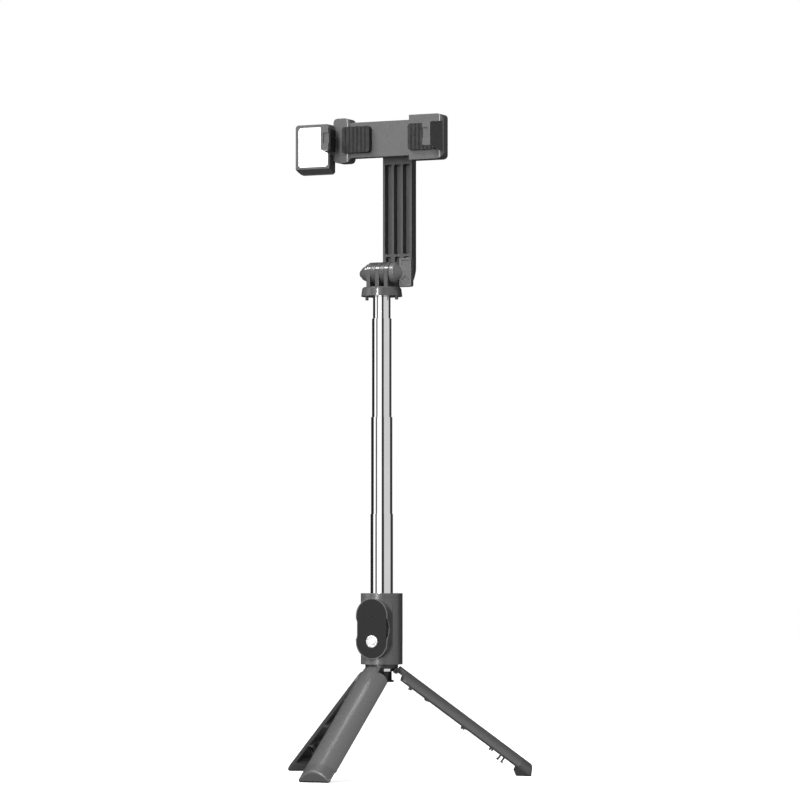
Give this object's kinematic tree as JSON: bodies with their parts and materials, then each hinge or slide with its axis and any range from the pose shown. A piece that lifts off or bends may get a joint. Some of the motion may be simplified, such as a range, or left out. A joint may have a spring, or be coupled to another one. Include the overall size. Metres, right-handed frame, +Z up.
{
  "type": "selfie stick tripod",
  "caption": "Telescopic selfie stick on a folding tripod, with a detachable shutter remote, a tilting and swivelling phone clamp and a fill light on its side.",
  "frame": {"origin": "on the rod axis, at the ground under the three feet", "axes": "+Z up along the rod, -Y towards the side that the phone's screen faces, +X to the right seen from that side"},
  "size_m": [0.186, 0.163, 0.4482],
  "materials": {
    "charcoal_plastic": "satin moulded",
    "graphite_plastic": "fine matte moulded",
    "black_plastic": "matte",
    "black_gloss": "polished",
    "rubber": "soft matte",
    "chrome": "mirror plated",
    "steel": "plain",
    "white_plastic": "pearled white",
    "diffuser": "translucent white",
    "board": "solder resist",
    "cell": "foil"
  },
  "bodies": {
    "handle": {"handle_shell": "charcoal_plastic", "handle_cap": "charcoal_plastic", "rod_bush": "black_plastic", "hub": "graphite_plastic", "leg_pins": "steel"},
    "leg_front": {"leg_front": "charcoal_plastic", "foot_front": "rubber"},
    "leg_right": {"leg_right": "charcoal_plastic", "foot_right": "rubber"},
    "leg_left": {"leg_left": "charcoal_plastic", "foot_left": "rubber"},
    "remote": {"remote_back": "black_plastic", "remote_front": "graphite_plastic", "remote_lamp": "black_gloss", "remote_board": "board", "remote_cell": "steel"},
    "remote_cap": {"remote_cap": "black_plastic"},
    "remote_button": {"remote_button": "white_plastic"},
    "rod_1": {"tube_1": "chrome", "end_plug": "black_plastic"},
    "rod_2": {"tube_2": "chrome", "slide_ring_2": "black_plastic"},
    "rod_3": {"tube_3": "chrome", "slide_ring_3": "black_plastic"},
    "rod_4": {"tube_4": "chrome", "slide_ring_4": "black_plastic"},
    "head": {"head_collar": "charcoal_plastic", "hinge_nut": "chrome"},
    "thumb_screw": {"screw_bolt": "steel", "screw_knob": "charcoal_plastic"},
    "bracket": {"bracket": "graphite_plastic", "swivel_washer": "steel"},
    "clamp": {"clamp_body": "graphite_plastic", "clamp_cover": "charcoal_plastic", "cover_screws": "steel", "swivel_bolt": "steel", "jaw_fixed": "charcoal_plastic", "jaw_fixed_pad": "rubber", "back_pad": "rubber"},
    "jaw": {"jaw_sliding": "charcoal_plastic", "jaw_sliding_pad": "rubber", "jaw_back_pad": "rubber", "jaw_rods": "steel", "jaw_springs": "steel"},
    "light": {"light_housing": "charcoal_plastic", "light_back": "graphite_plastic", "light_diffuser": "diffuser", "light_board": "white_plastic", "light_battery": "cell", "light_pivot": "steel", "light_port": "steel"},
    "light_button": {"light_button": "black_plastic"}
  },
  "joints": [
    {"name": "leg_front_fold", "type": "hinge", "parent": "handle", "child": "leg_front", "pos_m": [0, -0.0096, 0.0708], "axis": [1, 0, 0], "range_deg": [0, 53.3]},
    {"name": "leg_right_fold", "type": "hinge", "parent": "handle", "child": "leg_right", "pos_m": [0.00831, 0.0048, 0.0708], "axis": [-0.5, 0.866, 0], "range_deg": [0, 53.3]},
    {"name": "leg_left_fold", "type": "hinge", "parent": "handle", "child": "leg_left", "pos_m": [-0.00831, 0.0048, 0.0708], "axis": [-0.5, -0.866, 0], "range_deg": [0, 53.3]},
    {"name": "remote_lift", "type": "slide", "parent": "handle", "child": "remote", "axis": [0, -1, 0], "range_m": [0, 0.03]},
    {"name": "remote_cap_turn", "type": "hinge", "parent": "remote", "child": "remote_cap", "pos_m": [0, -0.0096, 0.0995], "axis": [0, 1, 0], "range_deg": [0, 60]},
    {"name": "shutter_press", "type": "slide", "parent": "remote", "child": "remote_button", "axis": [0, 1, 0], "range_m": [0, 0.0005], "stiffness_N_per_m": 300},
    {"name": "rod_1_slide", "type": "slide", "parent": "handle", "child": "rod_1", "axis": [0, 0, 1], "range_m": [-0.0533, 0.0042]},
    {"name": "rod_2_slide", "type": "slide", "parent": "rod_1", "child": "rod_2", "axis": [0, 0, 1], "range_m": [-0.0654, 0.022]},
    {"name": "rod_3_slide", "type": "slide", "parent": "rod_2", "child": "rod_3", "axis": [0, 0, 1], "range_m": [-0.0666, 0.0195]},
    {"name": "rod_4_slide", "type": "slide", "parent": "rod_3", "child": "rod_4", "axis": [0, 0, 1], "range_m": [-0.0149, 0.07]},
    {"name": "head_pan", "type": "hinge", "parent": "rod_4", "child": "head", "pos_m": [0, 0, 0.3244], "axis": [0, 0, 1], "continuous": true},
    {"name": "thumb_screw_turn", "type": "hinge", "parent": "head", "child": "thumb_screw", "pos_m": [0, 0, 0.3402], "axis": [-1, 0, 0], "range_deg": [0, 180]},
    {"name": "bracket_tilt", "type": "hinge", "parent": "head", "child": "bracket", "pos_m": [0, 0, 0.3402], "axis": [1, 0, 0], "range_deg": [-30, 150]},
    {"name": "clamp_swivel", "type": "hinge", "parent": "bracket", "child": "clamp", "pos_m": [0, 0.024, 0.4329], "axis": [0, 1, 0], "range_deg": [-90, 90]},
    {"name": "jaw_slide", "type": "slide", "parent": "clamp", "child": "jaw", "axis": [1, 0, 0], "range_m": [-0.021, 0.012], "deforming": ["jaw_springs"]},
    {"name": "light_tilt", "type": "hinge", "parent": "clamp", "child": "light", "pos_m": [-0.042, 0.0108, 0.4304], "axis": [1, 0, 0], "range_deg": [-45, 30]},
    {"name": "light_button_press", "type": "slide", "parent": "light", "child": "light_button", "axis": [0, -1, 0], "range_m": [0, 0.0005], "stiffness_N_per_m": 300}
  ]
}
